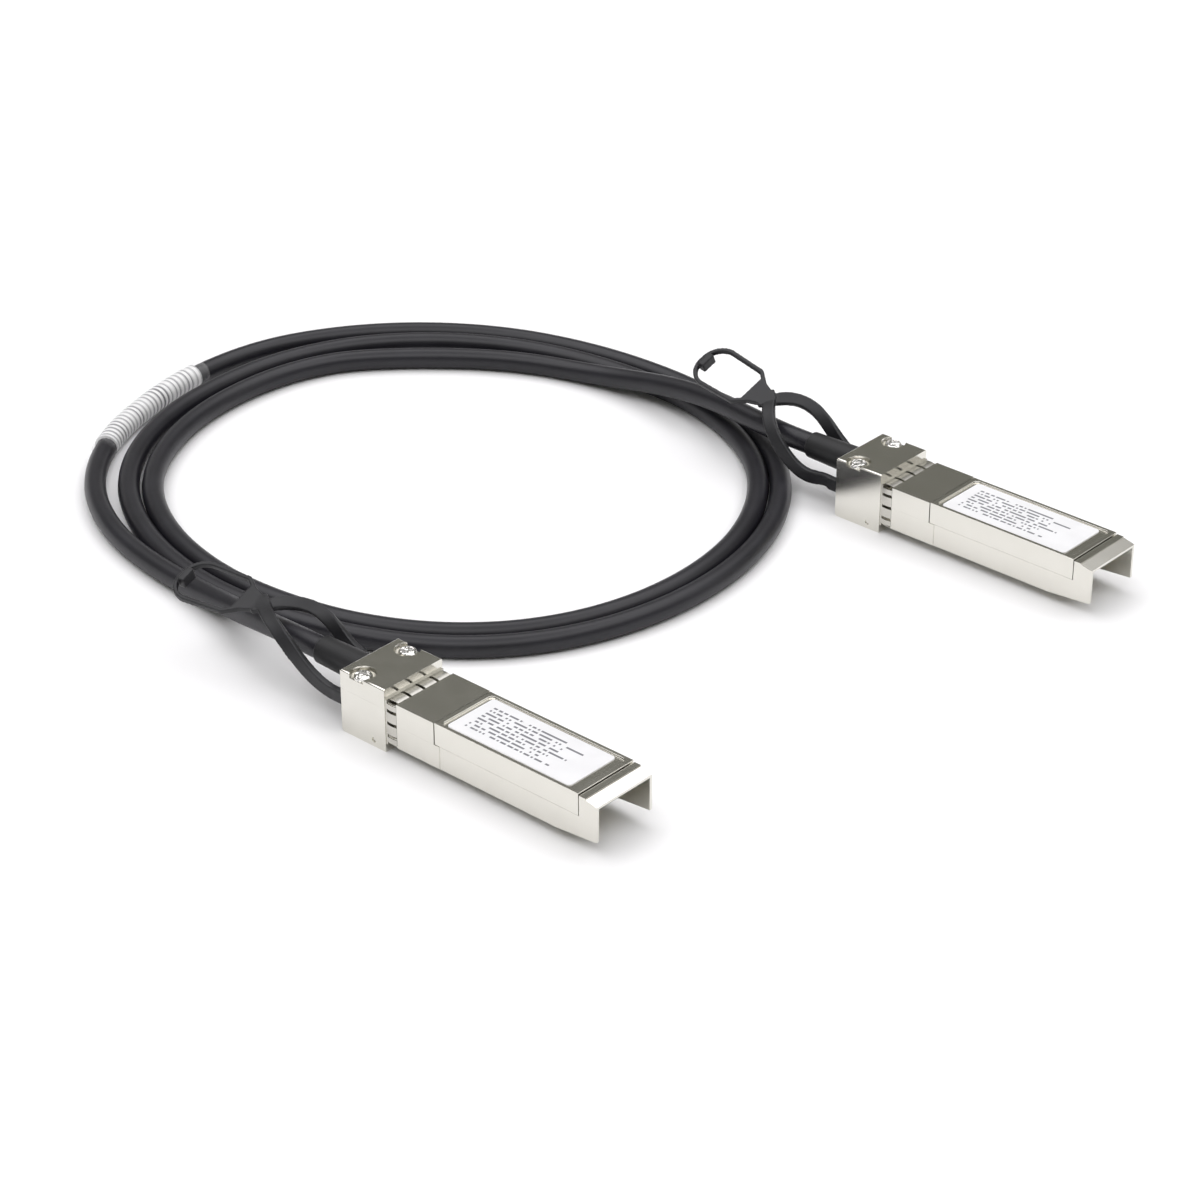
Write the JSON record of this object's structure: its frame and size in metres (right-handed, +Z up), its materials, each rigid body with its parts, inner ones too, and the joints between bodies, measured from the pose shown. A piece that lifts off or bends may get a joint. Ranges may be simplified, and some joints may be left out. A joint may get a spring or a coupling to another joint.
{
  "type": "direct attach copper cable",
  "caption": "Direct attach copper cable: a round black cable in a loose coil, with a metal pluggable connector and a pull-tab release ring on each end.",
  "frame": {"origin": "on the table, under the middle of the box round the two plugs, without the cable", "axes": "+X the way both plugs point, +Y from the near plug a to the far plug b, +Z up from the table"},
  "size_m": [0.1913, 0.1389, 0.0185],
  "materials": {
    "plated_casting": "satin nickel plating",
    "spring_steel": "bright spring steel",
    "rivet_steel": "bright",
    "slide_steel": "satin",
    "label_film": "matte",
    "wrap_film": "satin",
    "boot_plastic": "matte",
    "tab_plastic": "matte",
    "cable_jacket": "matte",
    "ferrule_brass": "satin",
    "wire_insulation": "gloss",
    "card_laminate": "gloss",
    "chip_plastic": "matte"
  },
  "bodies": {
    "cable_and_plugs": {"lower_shell_a": "plated_casting", "upper_shell_a": "plated_casting", "front_cover_a": "plated_casting", "emi_collar_a": "spring_steel", "shell_rivets_a": "rivet_steel", "top_label_a": "label_film", "strain_relief_a": "boot_plastic", "cable_ferrule_a": "ferrule_brass", "wire_pairs_a": "wire_insulation", "paddle_card_a": "card_laminate", "id_chip_a": "chip_plastic", "return_springs_a": "spring_steel", "lower_shell_b": "plated_casting", "upper_shell_b": "plated_casting", "front_cover_b": "plated_casting", "emi_collar_b": "spring_steel", "shell_rivets_b": "rivet_steel", "top_label_b": "label_film", "strain_relief_b": "boot_plastic", "cable_ferrule_b": "ferrule_brass", "wire_pairs_b": "wire_insulation", "paddle_card_b": "card_laminate", "id_chip_b": "chip_plastic", "return_springs_b": "spring_steel", "cable_coil": "cable_jacket", "cable_tail_a": "cable_jacket", "cable_tail_b": "cable_jacket", "cable_label": "wrap_film"},
    "tab_a": {"pull_tab_a": "tab_plastic", "release_slide_a": "slide_steel"},
    "tab_b": {"pull_tab_b": "tab_plastic", "release_slide_b": "slide_steel"}
  },
  "joints": [
    {"name": "tab_a_pull", "type": "slide", "parent": "cable_and_plugs", "child": "tab_a", "axis": [-1, 0, 0], "range_m": [0, 0.0025], "stiffness_N_per_m": 800, "deforming": ["return_springs_a"]},
    {"name": "tab_b_pull", "type": "slide", "parent": "cable_and_plugs", "child": "tab_b", "axis": [-1, 0, 0], "range_m": [0, 0.0025], "stiffness_N_per_m": 800, "deforming": ["return_springs_b"]}
  ]
}
